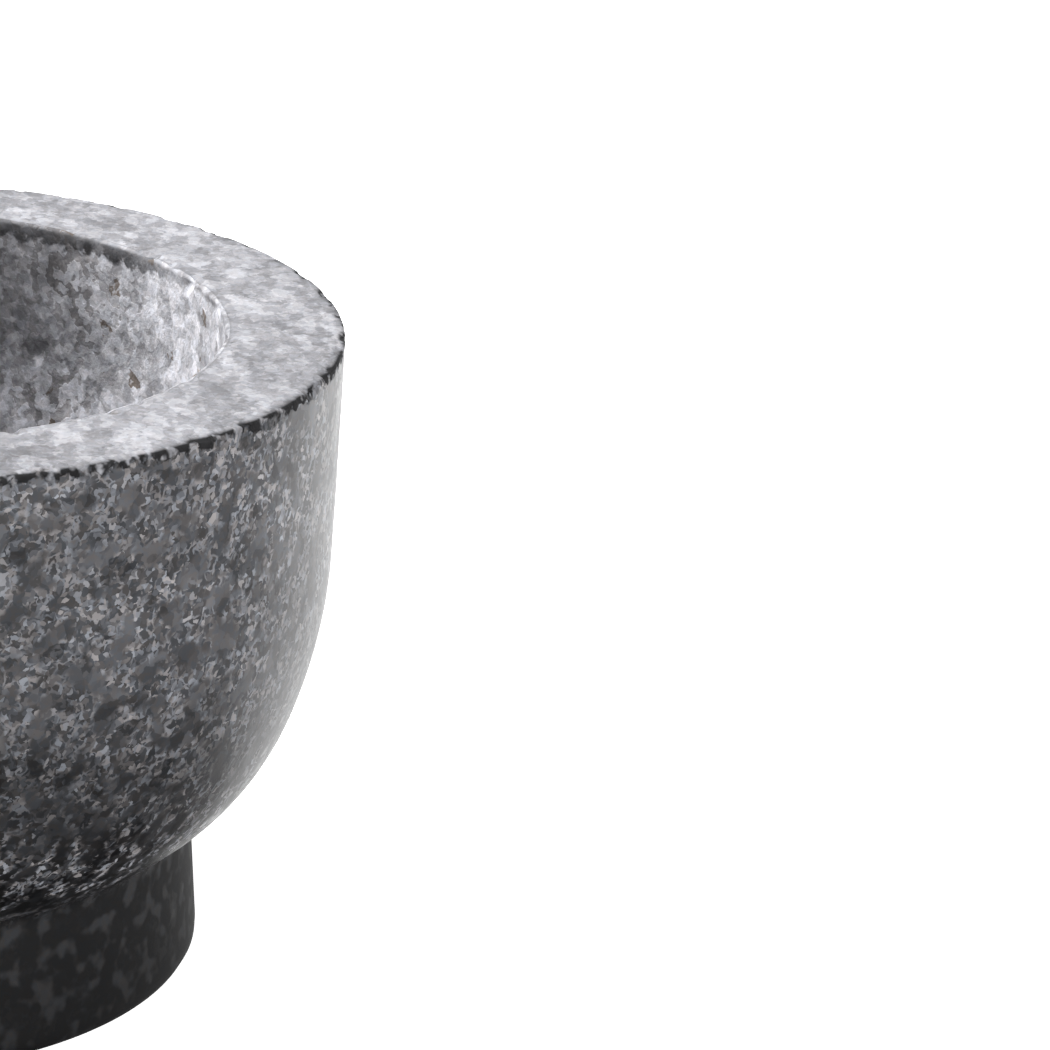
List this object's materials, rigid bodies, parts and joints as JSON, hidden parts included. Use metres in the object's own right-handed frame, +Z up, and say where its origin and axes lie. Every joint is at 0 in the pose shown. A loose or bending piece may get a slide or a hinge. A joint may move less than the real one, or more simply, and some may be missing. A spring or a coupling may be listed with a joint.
{
  "type": "molcajete",
  "caption": "Round granite mortar with a broad flat rim, a bulging wall and a single foot, with its loose stone pestle leaning in the bowl.",
  "frame": {"origin": "centre of the foot's flat underside", "axes": "+Z up along the bowl's axis, -Y towards the viewer, +X to the viewer's right"},
  "size_m": [0.16, 0.16, 0.1543],
  "materials": {
    "mortar_granite": "matte",
    "pestle_granite": "matte"
  },
  "bodies": {
    "mortar": {"mortar": "mortar_granite"},
    "pestle": {"pestle": "pestle_granite"}
  },
  "joints": [
    {"name": "pestle_lift", "type": "slide", "parent": "mortar", "child": "pestle", "axis": [0, 0, 1], "range_m": [0, 0.1]}
  ]
}
